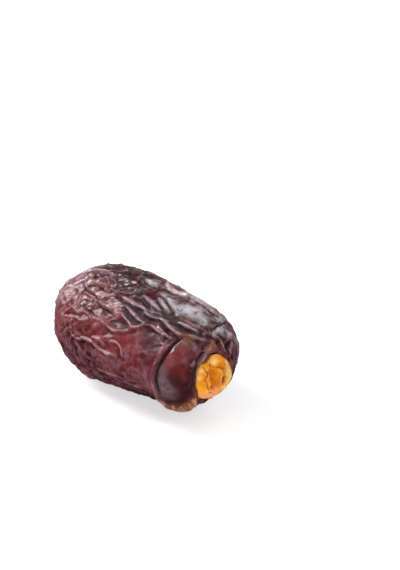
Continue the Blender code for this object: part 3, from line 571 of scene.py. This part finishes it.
def skin_points(points):
    """The form's points moved to the wrinkled skin, and how near each is to a crest, a crease and a blade."""
    normals = form_normals(points)
    relief = np.zeros(len(points))
    for station, angle, height, reach in SWELLS.values():
        relief += height * bump(np.linalg.norm(points - place(station, angle), axis=1), reach)
    past = past_cap(points)
    relief -= HOLLOW_DEPTH * smooth(0.5 + (WALL_PAST_CAP - past) / (2 * WALL_SLOPE))
    relief += LIP_HEIGHT * bump(past - LIP_PAST_CAP, LIP_WIDTH)
    share = net_share(points)
    wrinkles, crest_line, crease_line, blades = np.zeros((4, len(points)))
    for name, fold in FOLDS.items():
        raised, line = fold_relief(points, normals, *fold)
        wrinkles += raised
        if fold[0] > 0:
            crest_line = np.maximum(crest_line, line * (1.0 if name in PALE_FOLDS else FAINT_LINE))
        else:
            crease_line = np.maximum(crease_line, line)
    for blade in BLADES.values():
        raised, upper, below = blade_relief(points, normals, *blade)
        wrinkles += raised
        blades = np.maximum(blades, upper)
        crease_line = np.maximum(crease_line, BLADE_VALLEY_SHADE * below)
    for net in NETS.values():
        raised, line = net_relief(points, normals, *net)
        wrinkles += share * raised
        crest_line = np.maximum(crest_line, NET_LINE_STRENGTH * share * line)
    raised, line = net_relief(points, normals, *CREASES)
    creased = share * in_places(points, CREASED_PLACES.values())
    wrinkles += creased * raised
    crease_line = np.maximum(crease_line, creased * line)
    pad = SMOOTH_PLACES["pad"]
    on_pad = bump(np.linalg.norm(points - place(*pad[:2]), axis=1), pad[2])
    for size, height, seed in UNDULATIONS.values():
        calm = 1 - (1 - UNDULATION_SHARE_ON_PAD) * on_pad
        wrinkles += calm * height * lattice_noise(points / size, seed)
    relief += smooth((past - WALL_PAST_CAP) / LIP_PAST_CAP) * wrinkles
    moved = points + normals * relief[:, None]
    moved[:, 2] = np.maximum(moved[:, 2], -AXIS_HEIGHT)
    return moved, crest_line, crease_line, blades


def wrapped_box():
    """A bmesh box of nearly square cells, with its corners at plus and minus 1."""
    box = bmesh.new()
    bmesh.ops.create_cube(box, size=2.0)
    for axis, cells in enumerate((CELLS_ALONG, CELLS_ACROSS, CELLS_ACROSS)):
        along = [edge for edge in box.edges if abs(edge.verts[0].co[axis] - edge.verts[1].co[axis]) > 1.0]
        bmesh.ops.subdivide_edges(box, edges=along, cuts=cells - 1, use_grid_fill=True)
    return box


def new_object(name, data):
    made = bpy.data.objects.new(name, data)
    bpy.context.scene.collection.objects.link(made)
    return made


def add_object(name, shape, material):
    """A smooth-shaded object made from a bmesh, which is then freed."""
    mesh = bpy.data.meshes.new(name)
    shape.to_mesh(mesh)
    shape.free()
    mesh.shade_smooth()
    mesh.materials.append(material)
    return new_object(name, mesh)


def read_points(mesh, kind="co"):
    """The places of the mesh's points, or their normals, as rows of an array."""
    values = np.empty(len(mesh.vertices) * 3)
    mesh.vertices.foreach_get(kind, values)
    return values.reshape(-1, 3)


def averaged(mesh, values, rounds):
    """The values at a mesh's points, each made the mean of itself and its neighbours, several times over."""
    ends = np.empty(len(mesh.edges) * 2, int)
    mesh.edges.foreach_get("vertices", ends)
    first, second = ends.reshape(-1, 2).T
    count = len(mesh.vertices)
    shares = 1.0 / (1 + np.bincount(first, minlength=count) + np.bincount(second, minlength=count))
    for _ in range(rounds):
        total = values.copy()
        for held, sums in zip(values.T, total.T):
            sums += np.bincount(first, held[second], count) + np.bincount(second, held[first], count)
        values = total * shares[:, None]
    return values


def add_mask(mesh, name, values):
    """Keep a value from 0 to 1 at each point of the mesh, for its material to read."""
    layer = mesh.attributes.new(name, "FLOAT", "POINT")
    layer.data.foreach_set("value", np.clip(values, 0.0, 1.0).astype(np.float32))


def mark_relief(mesh):
    """Add the masks of how far each point stands out of the skin round it."""
    points = read_points(mesh) / MM
    normals = read_points(mesh, "normal")
    evened = points
    for name, (rounds, height) in RELIEF_MASKS.items():
        evened = averaged(mesh, evened, rounds)
        add_mask(mesh, name, 0.5 + ((points - evened) * normals).sum(axis=1) / height)


def make_fruit():
    fruit = add_object("fruit_skin", wrapped_box(), skin_material())
    mesh = fruit.data
    # The tangent evens out the cells where the flat sides wrap onto the round form
    directions = np.tan(read_points(mesh) * math.pi / 4) * (HALF_LENGTH, HALF_WIDTH, HALF_WIDTH)
    form = on_form(directions)
    skin, crest_line, crease_line, blades = skin_points(form)
    skin += (0.0, 0.0, AXIS_HEIGHT)
    mesh.vertices.foreach_set("co", (skin * MM).ravel())
    mesh.update()
    mark_relief(mesh)
    add_mask(mesh, "crest_line", crest_line)
    add_mask(mesh, "crease_line", crease_line)
    add_mask(mesh, "blades", blades)
    # Painted shade, darker towards the floor
    add_mask(mesh, "under", smooth((UNDER_TOP - skin[:, 2]) / UNDER_TOP))
    for name, places in TINTS.items():
        add_mask(mesh, name, in_places(form, places))
    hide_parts("date_fruit")
    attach(fruit, "root")


def hollow_floor(y, z):
    """X of the hollow's floor, at y and z from the date's axis."""
    across = np.hypot(y, z) / HALF_WIDTH
    return HALF_LENGTH * (1 - across**BLUNTNESS) ** (1 / BLUNTNESS) - HOLLOW_DEPTH


def in_scar(y, z):
    """How much each place lies in the stem's scar, at y and z from the cap's middle."""
    from_scar = np.hypot((y - SCAR_Y) / SCAR_HALF_WIDTH, (z - SCAR_Z) / SCAR_HALF_HEIGHT)
    return np.exp(-(from_scar**4))


def cap_height(y, z, share):
    """How high the cap's upper face stands over its base, at y and z from its middle."""
    top = CAP_EDGE + CAP_CROWN * (1 - share**CAP_CROWN_POWER) + CAP_LEAN_Y * y + CAP_LEAN_Z * z
    for height, half_width, knots in CAP_LINES.values():
        line = smooth_line(knots)
        away = np.hypot(y[:, None] - line[:, 0], z[:, None] - line[:, 1]).min(axis=1)
        top += height * bump(away, half_width)
    for size, height, seed in CAP_GRAIN.values():
        top += height * lattice_noise(np.stack([y, z, 0 * y], axis=1) / size + CAP_GRAIN_START, seed)
    return top - SCAR_DEPTH * in_scar(y, z)


def make_cap():
    """Rings of points from the middle of the cap's upper face out, over its edge and in under its base."""
    cap = bmesh.new()
    angles = np.arange(CAP_SPOKES) * 360.0 / CAP_SPOKES
    turn = np.radians(angles)
    edge = cap_radius(angles)

    def add_ring(share, rise, count=CAP_SPOKES):
        y = -share * edge[:count] * np.sin(turn[:count])
        z = share * edge[:count] * np.cos(turn[:count])
        height = rise * cap_height(y, z, np.full(count, share))
        x = hollow_floor(y + CAP_CENTRE_Y, z + CAP_CENTRE_Z) + SEAT_GAP + height
        points = np.stack([x, y + CAP_CENTRE_Y, z + CAP_CENTRE_Z + AXIS_HEIGHT], axis=1)
        return [cap.verts.new(MM * point) for point in points]

    upper = [(math.sin(0.5 * math.pi * k / CAP_RINGS), 1.0) for k in range(1, CAP_RINGS)]
    rings = [add_ring(*ring) for ring in upper + CAP_SIDE]
    crown, foot = add_ring(0.0, 1.0, 1)[0], add_ring(0.0, 0.0, 1)[0]
    for k in range(CAP_SPOKES):
        after = (k + 1) % CAP_SPOKES
        cap.faces.new((crown, rings[0][after], rings[0][k]))
        cap.faces.new((foot, rings[-1][k], rings[-1][after]))
        for inner, outer in itertools.pairwise(rings):
            cap.faces.new((inner[k], inner[after], outer[after], outer[k]))
    bmesh.ops.recalc_face_normals(cap, faces=cap.faces)
    made = add_object("calyx_lobes", cap, calyx_material())
    mark_relief(made.data)
    points = read_points(made.data) / MM
    y = points[:, 1] - CAP_CENTRE_Y
    z = points[:, 2] - CAP_CENTRE_Z - AXIS_HEIGHT
    outward = np.hypot(y, z) / cap_radius(np.degrees(np.arctan2(-y, z)))
    add_mask(made.data, "rim", smooth((outward - CAP_RIM_START) / CAP_RIM_WIDTH))
    add_mask(made.data, "low", smooth(-z / CAP_LOW_REACH))
    add_mask(made.data, "scar", in_scar(y, z))
    for name, places in CAP_TINTS.items():
        shares = [bump(np.hypot(y - at_y, z - at_z), reach) for at_y, at_z, reach in places]
        add_mask(made.data, name, sum(shares))
    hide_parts("calyx_cap")
    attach(made, "root")


# The sockets that a Mix node has for colours
MIX_SHARE, MIX_FIRST, MIX_SECOND, MIX_RESULT = 0, 6, 7, 2


class Shading:
    """The nodes of a material or of the sky, added one by one; each method gives back its output socket."""

    def __init__(self, owner, shader):
        self.owner = owner
        owner.use_nodes = True
        self.tree = owner.node_tree
        self.shader = self.tree.nodes[shader]

    def put(self, socket, value):
        """Link an output to the socket, or set the socket's own value."""
        if isinstance(value, bpy.types.NodeSocket):
            self.tree.links.new(value, socket)
        else:
            socket.default_value = value

    def add(self, kind, inputs, **settings):
        node = self.tree.nodes.new(kind)
        for key, value in settings.items():
            setattr(node, key, value)
        for key, value in inputs.items():
            self.put(node.inputs[key], value)
        return node

    def mask(self, name):
        return self.add("ShaderNodeAttribute", {}, attribute_name=name).outputs["Fac"]

    def noise(self, size, detail, roughness, sway):
        """Noise of about this size in millimetres."""
        inputs = {
            "Vector": self.add("ShaderNodeTexCoord", {}).outputs["Object"], "Scale": 1 / (size * MM),
            "Detail": detail, "Roughness": roughness, "Distortion": sway,
        }
        return self.add("ShaderNodeTexNoise", inputs).outputs["Fac"]

    def span(self, value, low, high, to_low=0.0, to_high=1.0):
        """The value's range from low to high, eased and stretched to another range."""
        inputs = {"Value": value, "From Min": low, "From Max": high, "To Min": to_low, "To Max": to_high}
        return self.add("ShaderNodeMapRange", inputs, interpolation_type="SMOOTHSTEP").outputs["Result"]

    def math(self, operation, *values):
        """The values joined one after another."""
        result = values[0]
        for value in values[1:]:
            result = self.add("ShaderNodeMath", {0: result, 1: value}, operation=operation).outputs["Value"]
        return result

    def times(self, *values):
        return self.math("MULTIPLY", *values)

    def mix(self, share, first, second):
        """The second colour over the first, by the share."""
        inputs = {MIX_SHARE: share}
        for key, colour in ((MIX_FIRST, first), (MIX_SECOND, second)):
            inputs[key] = (*colour, 1.0) if isinstance(colour, tuple) else colour
        return self.add("ShaderNodeMix", inputs, data_type="RGBA").outputs[MIX_RESULT]

    def bump(self, layers):
        """Bumps one over another, each as what it follows, its strength and its depth in millimetres."""
        inputs = {}
        for height, strength, depth in layers:
            inputs |= {"Height": height, "Strength": strength, "Distance": depth * MM}
            inputs["Normal"] = self.add("ShaderNodeBump", inputs).outputs["Normal"]
        return inputs["Normal"]

    def finish(self, **values):
        for key, value in values.items():
            self.put(self.shader.inputs[key.replace("_", " ")], value)
        return self.owner


def new_material(name):
    return Shading(bpy.data.materials.new(name), "Principled BSDF")


# Colours of the skin
# DEEP is the darkest maroon, and also the painted shade in hollows, folds, creases, shaded places and
# underneath
DEEP = (0.022, 0.004, 0.006)
MAROON = (0.12, 0.01, 0.016)
# Red tone, also painted light on the far flank and the pad's top
RED = (0.23, 0.018, 0.021)
# Lilac of the waxy layer, also a painted sheen on crests and a painted reflection of the floor
LILAC = (0.23, 0.102, 0.128)
# Lilac of the blades' upper faces, partly a painted sheen
BLADE_LILAC = (0.46, 0.3, 0.38)
PINK = (0.3, 0.105, 0.11)
# Pale crest lines, partly a painted highlight
PALE_LINE = (0.5, 0.26, 0.26)
# Pale grey of wax, also a painted sheen on the top and the stem end's rim
WAX_AND_SHEEN = (0.52, 0.49, 0.54)
# Whitish pink of wax, also a painted rim sheen
FROST_AND_SHEEN = (0.46, 0.31, 0.33)
# Grey of a dusting, also a painted reflection of the floor on the pad
DUST_AND_SHEEN = (0.25, 0.19, 0.2)
AMBER = (0.34, 0.12, 0.035)
# Pale amber of the painted glints and glow
AMBER_PALE = (0.62, 0.36, 0.19)
# Its noises: size in millimetres, detail, roughness and sway of each
SKIN_NOISES = {
    "patches": (5, 4, 0.6, 0.6),
    "mottle": (1.3, 5, 0.65, 0.4),
    "fine": (0.35, 4, 0.7, 0),
    "haze": (2.2, 5, 0.6, 1.2),
    "lines": (2, 3, 0.5, 0.5),
}
# The range of a noise or a mask that counts, and the strengths that it is stretched to, if not 0 and 1
SKIN_SPANS = {
    "patches": (0.3, 0.65),
    "hazy_patches": (0.42, 0.66),
    "broken_lines": (0.42, 0.62, 0.05, 1),
    "dust_and_sheen_grain": (0.25, 0.75, 0.4, 0.8),
    "high_ground": (0.15, 0.55),
    "deep_folds": (0.42, 0.12),
    "dull_folds": (0.4, 0.2),
    "film_and_sheen_on_crests": (0.46, 0.85),
    "haze_on_crests": (0.3, 0.5),
    "film_and_sheen": (0.38, 0.6, 0, 0.65),
    "film_and_sheen_kept_off": (0, 1, 1, 0.1),
    "coat": (0, 1, 0.6, 0),
    "roughness": (0.3, 1.4, 0.27, 0.55),
}
# How the mottling breaks up each tint, in the same way
SKIN_MOTTLING = {
    "redness": (0.3, 0.65, 0.35, 1),
    "pinkness": (0.3, 0.6, 0.2, 0.9),
    "blades": (0.3, 0.55, 0.3, 0.95),
    "bloom_and_sheen": (0.32, 0.6, 0.2, 1),
    "frost_and_sheen": (0.36, 0.6, 0.15, 0.9),
    "dust_and_sheen": (0.3, 0.6, 0.4, 1),
    "amber": (0.25, 0.6, 0.35, 1),
    "gleam": (0.42, 0.58),
}
# The relief mask that limits some of the tints, and how
TINTS_ON_RELIEF = {
    "pinkness": ("rise", 0.25, 0.55),
    "bloom_and_sheen": ("fold", 0.3, 0.55, 0.1, 1),
    "frost_and_sheen": ("fold", 0.35, 0.6, 0.2, 1),
}
# How dark the painted shade makes shaded places, creases and the underside
SHADE_STRENGTH = 0.85
CREASE_STRENGTH = 0.8
UNDER_STRENGTH = 0.3
# How much haze, partly a painted reflection of the floor, lies everywhere, and how much more in hazy places
HAZE_EVERYWHERE = 0.32
HAZE_MORE = 0.6
# Its bumps: strength, and depth in millimetres
SKIN_MOTTLE_BUMP = (0.7, 0.16)
SKIN_FINE_BUMP = (0.7, 0.07)
SKIN_FINISH = {
    "Subsurface_Weight": 0.12, "Subsurface_Scale": 0.0006, "Subsurface_Radius": (1.0, 0.25, 0.15),
    "Coat_Roughness": 0.18, "Specular_IOR_Level": 0.3,
}


def skin_material():
    skin = new_material("date_skin")
    relief = {name: skin.mask(name) for name in RELIEF_MASKS}
    patches, mottle, fine, haze, lines = (skin.noise(*noise) for noise in SKIN_NOISES.values())

    def span(value, name):
        return skin.span(value, *SKIN_SPANS[name])

    def tint(name):
        """A tint's mask, broken up by the mottling and limited by the relief."""
        parts = [skin.mask(name), skin.span(mottle, *SKIN_MOTTLING[name])]
        if name in TINTS_ON_RELIEF:
            limit, *limits = TINTS_ON_RELIEF[name]
            parts.append(skin.span(relief[limit], *limits))
        return skin.times(*parts)

    colour = skin.mix(span(patches, "patches"), DEEP, MAROON)
    # Red tone, partly painted light
    colour = skin.mix(tint("redness"), colour, RED)
    # Painted shade: low ground darkens
    colour = skin.mix(span(relief["rise"], "high_ground"), DEEP, colour)
    shade = skin.mask("shade")
    colour = skin.mix(skin.times(shade, SHADE_STRENGTH), colour, DEEP)
    colour = skin.mix(tint("pinkness"), colour, PINK)
    # A thin lilac layer, part waxy coat and part painted sheen: lilac on what stands out and grey where it
    # lies thickest, with a haze that is partly a painted reflection of the floor, and little of it on the pad
    film_and_sheen = skin.times(span(relief["crest"], "film_and_sheen_on_crests"), span(mottle, "film_and_sheen"))
    hazy = skin.math("ADD", skin.times(skin.mask("haze"), HAZE_MORE), HAZE_EVERYWHERE)
    hazed = skin.times(span(haze, "hazy_patches"), hazy, span(relief["crest"], "haze_on_crests"))
    uncovered = span(skin.math("MAXIMUM", skin.mask("bare"), shade), "film_and_sheen_kept_off")
    colour = skin.mix(skin.times(skin.math("MAXIMUM", film_and_sheen, hazed), uncovered), colour, LILAC)
    # Blades' upper faces lilac, partly a painted sheen
    colour = skin.mix(tint("blades"), colour, BLADE_LILAC)
    # Painted shade in the folds
    colour = skin.mix(span(relief["fold"], "deep_folds"), colour, DEEP)
    # Pale grey wax, partly a painted sheen on the top and the stem end's rim
    bloom_and_sheen = tint("bloom_and_sheen")
    colour = skin.mix(bloom_and_sheen, colour, WAX_AND_SHEEN)
    # Whitish wax, partly a painted rim sheen along the edges
    colour = skin.mix(tint("frost_and_sheen"), colour, FROST_AND_SHEEN)
    # Grey dusting on the pad, partly a painted reflection of the floor
    colour = skin.mix(skin.times(tint("dust_and_sheen"), span(fine, "dust_and_sheen_grain")), colour, DUST_AND_SHEEN)
    colour = skin.mix(tint("amber"), colour, AMBER)
    # Pale crest lines, partly a painted highlight
    colour = skin.mix(skin.times(skin.mask("crest_line"), span(lines, "broken_lines")), colour, PALE_LINE)
    # Painted glints and glow in pale amber
    colour = skin.mix(tint("gleam"), colour, AMBER_PALE)
    # Painted shade in the creases and under the blades
    creases = skin.mask("crease_line")
    colour = skin.mix(skin.times(creases, CREASE_STRENGTH), colour, DEEP)
    # Painted shade underneath
    colour = skin.mix(skin.times(skin.mask("under"), UNDER_STRENGTH), colour, DEEP)
    dull = skin.math("MAXIMUM", skin.mask("dull"), creases, span(relief["fold"], "dull_folds"))
    roughness = skin.math("ADD", skin.math("MAXIMUM", bloom_and_sheen, dull), fine)
    normal = skin.bump([(mottle, *SKIN_MOTTLE_BUMP), (fine, *SKIN_FINE_BUMP)])
    return skin.finish(
        Base_Color=colour, Roughness=span(roughness, "roughness"), Normal=normal,
        Coat_Weight=span(dull, "coat"), **SKIN_FINISH,
    )


# Colours of the cap
ORANGE = (0.84, 0.27, 0.0)
YELLOW = (1.0, 0.4, 0.0)
# Pale yellow of the painted highlights on the cap's crests and bulges
PALE_HIGHLIGHT = (1.0, 0.66, 0.24)
DEEP_ORANGE = (0.66, 0.17, 0.0)
# Brown of the painted shade in the cap's grooves
BROWN = (0.36, 0.1, 0.002)
OLIVE = (0.26, 0.085, 0.003)
ROSY = (0.92, 0.4, 0.2)
CAP_NOISES = {
    "patches": (2.2, 4, 0.6, 0.8),
    "mottle": (0.9, 5, 0.65, 0.6),
    "fine": (0.25, 4, 0.7, 0),
}
CAP_PATCHES = (0.35, 0.65)
# Its colours one over another: what each follows, the range that counts and its strengths, and the colour.
# Where it follows the mask of some places, the range is the mottling's, which breaks them up.
CAP_LAYERS = [
    ("deep_places", (0.3, 0.6, 0.45, 1.0), DEEP_ORANGE),
    # Painted shade: low ground darkens
    ("rise", (0.42, 0.2, 0.0, 0.5), DEEP_ORANGE),
    ("mottle", (0.5, 0.75, 0.0, 0.35), DEEP_ORANGE),
    # Painted highlight on what stands out
    ("crest", (0.6, 1.0, 0.0, 0.4), PALE_HIGHLIGHT),
    # Painted highlights on the bulges
    ("pale_highlight_places", (0.3, 0.55, 0.35, 0.95), PALE_HIGHLIGHT),
    ("rosy_places", (0.35, 0.6, 0.1, 0.9), ROSY),
    # Painted shade in the grooves
    ("crest", (0.38, 0.05, 0.0, 0.6), BROWN),
]
SCAR_STRENGTH = 0.95
LOW_RIM_STRENGTH = 0.5
CAP_MOTTLE_BUMP = (0.6, 0.16)
CAP_FINE_BUMP = (0.4, 0.05)
CAP_ROUGHNESS = (0.2, 0.8, 0.3, 0.55)
CAP_FINISH = {
    "Subsurface_Weight": 0.3, "Subsurface_Scale": 0.0008, "Subsurface_Radius": (1.0, 0.5, 0.15),
    "Specular_IOR_Level": 0.12, "Coat_Weight": 0.35, "Coat_Roughness": 0.2,
}


def calyx_material():
    calyx = new_material("calyx")
    patches, mottle, fine = (calyx.noise(*noise) for noise in CAP_NOISES.values())
    colour = calyx.mix(calyx.span(patches, *CAP_PATCHES), ORANGE, YELLOW)
    for follows, limits, tint in CAP_LAYERS:
        if follows == "mottle":
            share = calyx.span(mottle, *limits)
        elif follows in RELIEF_MASKS:
            share = calyx.span(calyx.mask(follows), *limits)
        else:
            share = calyx.times(calyx.mask(follows), calyx.span(mottle, *limits))
        colour = calyx.mix(share, colour, tint)
    colour = calyx.mix(calyx.times(calyx.mask("scar"), SCAR_STRENGTH), colour, OLIVE)
    colour = calyx.mix(calyx.times(calyx.mask("low"), calyx.mask("rim"), LOW_RIM_STRENGTH), colour, ROSY)
    normal = calyx.bump([(mottle, *CAP_MOTTLE_BUMP), (fine, *CAP_FINE_BUMP)])
    return calyx.finish(
        Base_Color=colour, Roughness=calyx.span(fine, *CAP_ROUGHNESS), Normal=normal, **CAP_FINISH,
    )


# The floor, a pale table lit a little from below: its side in metres, its glow, and the noise of its tones
FLOOR_SIDE = 3.0
FLOOR_GLOW = 0.6
FLOOR_ROUGHNESS = 0.6
FLOOR_TONES = ((0.6, 0.6, 0.605), (0.62, 0.62, 0.62))
FLOOR_NOISE = (40.0, 3.0, 0.55, 0.0)
FLOOR_PATCHES = (0.3, 0.7)


def make_floor():
    shape = bmesh.new()
    bmesh.ops.create_grid(shape, x_segments=1, y_segments=1, size=FLOOR_SIDE / 2)
    pale = new_material("pale_floor")
    lit = pale.finish(
        Base_Color=pale.mix(pale.span(pale.noise(*FLOOR_NOISE), *FLOOR_PATCHES), *FLOOR_TONES),
        Roughness=FLOOR_ROUGHNESS, Emission_Color=(1.0, 1.0, 1.0, 1.0), Emission_Strength=FLOOR_GLOW,
    )
    floor = add_object("floor", shape, lit)
    # The skin's gloss shows the sky's lower half in its place, which is dimmer
    floor.visible_glossy = False


# The photograph's camera: how it is turned about Z from looking along +Y, how far it looks down, its distance
# from the middle of what it sees, and the height of what it sees there
CAMERA_AZIMUTH = math.radians(46.4)
CAMERA_ELEVATION = math.radians(25.0)
CAMERA_DISTANCE = 433.4
VIEW_HEIGHT = 126.2
# The middle of the view lies right of the date's middle and above it
VIEW_RIGHT = 12.18
VIEW_UP = 11.28
SENSOR_HEIGHT = 36.0
NEAREST_SEEN = 10.0


def camera_axes():
    """Unit vectors back towards the camera, to its right and up in its picture."""
    back = Vector((
        math.sin(CAMERA_AZIMUTH) * math.cos(CAMERA_ELEVATION),
        -math.cos(CAMERA_AZIMUTH) * math.cos(CAMERA_ELEVATION),
        math.sin(CAMERA_ELEVATION),
    ))
    right = Vector((math.cos(CAMERA_AZIMUTH), math.sin(CAMERA_AZIMUTH), 0.0))
    return back, right, back.cross(right)


def aim(thing, at, stand):
    """Put a thing where it stands, looking at a point."""
    thing.location = stand
    thing.rotation_euler = (Vector(stand) - Vector(at)).to_track_quat("Z", "Y").to_euler()


def make_camera():
    back, right, up = camera_axes()
    target = (Vector((0.0, 0.0, AXIS_HEIGHT)) + right * VIEW_RIGHT + up * VIEW_UP) * MM
    lens = bpy.data.cameras.new("camera")
    lens.sensor_fit = "VERTICAL"
    lens.sensor_height = SENSOR_HEIGHT
    lens.lens = SENSOR_HEIGHT * CAMERA_DISTANCE / VIEW_HEIGHT
    lens.clip_start = NEAREST_SEEN * MM
    camera = new_object("camera", lens)
    aim(camera, target, target + back * CAMERA_DISTANCE * MM)
    bpy.context.scene.camera = camera


# Soft lights from far off: azimuth from +X, height and width in degrees, and strength on what faces it
LIGHTS = {
    "left": (212, 50, 24, 2),
    "behind": (100, 36, 36, 0.7),
    "back_left": (196, 26, 30, 0.8),
    "above": (150, 82, 70, 0.6),
    "right": (0, 40, 34, 0.9),
    "front": (285, 40, 60, 0.75),
}
# The studio's own light: bright low down behind the date, dimmer overhead and towards the camera
SKY_BRIGHT = 0.36
SKY_NEAR = 0.1
SKY_OVERHEAD = 0.35
SKY_BELOW = 0.75
# Where it changes towards the camera, overhead and below, as sines of the angle
SKY_SIDES = (-0.5, 0.6)
SKY_TOP = (0.3, 0.8)
SKY_FOOT = (-0.25, 0.0)


def make_lights():
    for name, (azimuth, height, width, strength) in LIGHTS.items():
        light = bpy.data.lights.new(name, "SUN")
        light.angle = math.radians(width)
        light.energy = strength
        turn, rise = math.radians(azimuth), math.radians(height)
        flat = math.cos(rise)
        far_off = (flat * math.cos(turn), flat * math.sin(turn), math.sin(rise))
        aim(new_object(name, light), (0.0, 0.0, 0.0), far_off)


def make_sky():
    sky = Shading(bpy.data.worlds.new("studio"), "Background")
    direction = sky.add("ShaderNodeTexCoord", {}).outputs["Generated"]
    to_camera = (math.sin(CAMERA_AZIMUTH), -math.cos(CAMERA_AZIMUTH), 0.0)
    towards = sky.add("ShaderNodeVectorMath", {0: direction, 1: to_camera}, operation="DOT_PRODUCT")
    upward = sky.add("ShaderNodeSeparateXYZ", {"Vector": direction}).outputs["Z"]
    strength = sky.times(
        sky.span(towards.outputs["Value"], *SKY_SIDES, SKY_BRIGHT, SKY_NEAR),
        sky.span(upward, *SKY_TOP, 1.0, SKY_OVERHEAD),
        sky.span(upward, *SKY_FOOT, SKY_BELOW, 1.0),
    )
    bpy.context.scene.world = sky.finish(Strength=strength)
    bpy.context.scene.view_settings.view_transform = "Standard"


make_fruit()
make_cap()
make_floor()
make_camera()
make_lights()
make_sky()
